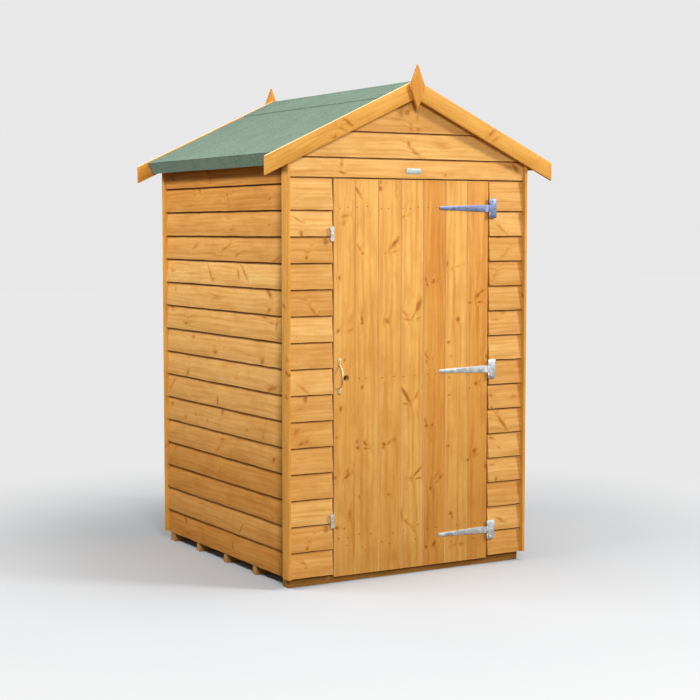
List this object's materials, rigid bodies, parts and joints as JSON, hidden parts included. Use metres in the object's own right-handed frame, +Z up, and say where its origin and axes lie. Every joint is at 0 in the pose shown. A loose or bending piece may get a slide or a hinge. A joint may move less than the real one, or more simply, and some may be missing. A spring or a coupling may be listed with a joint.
{
  "type": "garden shed",
  "caption": "Small windowless garden shed with lapped board walls, an apex roof under green felt, and a ledged and braced plank door on tee hinges with turn buttons.",
  "frame": {"origin": "on the ground under the middle of the shed", "axes": "+Z up, +X to the right seen from the door side, -Y out through the door"},
  "size_m": [1.404, 1.32, 2.1358],
  "materials": {
    "lapped_boards": "sawn softwood, golden dip treated",
    "door_boards": "planed softwood, golden dip treated",
    "planed_trim": "planed softwood, golden dip treated",
    "framing_timber": "sawn softwood",
    "roofing_felt": "green mineral surfaced felt",
    "zinc_plated_steel": "bright zinc plate"
  },
  "bodies": {
    "shed": {"bearers": "framing_timber", "floor": "framing_timber", "left_wall_cladding": "lapped_boards", "right_wall_cladding": "lapped_boards", "back_wall_cladding": "lapped_boards", "front_left_cladding": "lapped_boards", "front_right_cladding": "lapped_boards", "front_gable_cladding": "lapped_boards", "left_wall_studs": "framing_timber", "left_wall_rails": "framing_timber", "right_wall_studs": "framing_timber", "right_wall_rails": "framing_timber", "back_wall_studs": "framing_timber", "back_wall_rails": "framing_timber", "front_wall_posts": "framing_timber", "front_sole_rails": "framing_timber", "front_head_rail": "framing_timber", "front_rafters": "framing_timber", "back_rafters": "framing_timber", "front_left_trim": "planed_trim", "front_right_trim": "planed_trim", "back_left_trim": "planed_trim", "back_right_trim": "planed_trim", "roof_panel_left": "framing_timber", "roof_panel_right": "framing_timber", "eaves_batten_left": "framing_timber", "eaves_batten_right": "framing_timber", "ridge_battens": "framing_timber", "roof_felt": "roofing_felt", "bargeboard_front_left": "planed_trim", "bargeboard_front_right": "planed_trim", "bargeboard_back_left": "planed_trim", "bargeboard_back_right": "planed_trim", "finial_front": "planed_trim", "finial_back": "planed_trim", "hinge_plate_top": "zinc_plated_steel", "hinge_plate_middle": "zinc_plated_steel", "hinge_plate_bottom": "zinc_plated_steel", "pivot_screws": "zinc_plated_steel"},
    "door": {"door_boards": "door_boards", "door_ledge_top": "framing_timber", "door_ledge_middle": "framing_timber", "door_ledge_bottom": "framing_timber", "door_brace_upper": "framing_timber", "door_brace_lower": "framing_timber", "pull_handle": "zinc_plated_steel", "hinge_strap_top": "zinc_plated_steel", "hinge_strap_middle": "zinc_plated_steel", "hinge_strap_bottom": "zinc_plated_steel"},
    "upper_button": {"turn_button_upper": "zinc_plated_steel"},
    "lower_button": {"turn_button_lower": "zinc_plated_steel"}
  },
  "joints": [
    {"name": "door_hinge", "type": "hinge", "parent": "shed", "child": "door", "pos_m": [0.396, -0.6135, 0.857], "axis": [0, 0, 1], "range_deg": [0, 170]},
    {"name": "upper_button_turn", "type": "hinge", "parent": "shed", "child": "upper_button", "pos_m": [-0.385, -0.6093, 1.441], "axis": [0, 1, 0], "range_deg": [-90, 90]},
    {"name": "lower_button_turn", "type": "hinge", "parent": "shed", "child": "lower_button", "pos_m": [-0.385, -0.6093, 0.265], "axis": [0, 1, 0], "range_deg": [-90, 90]}
  ]
}
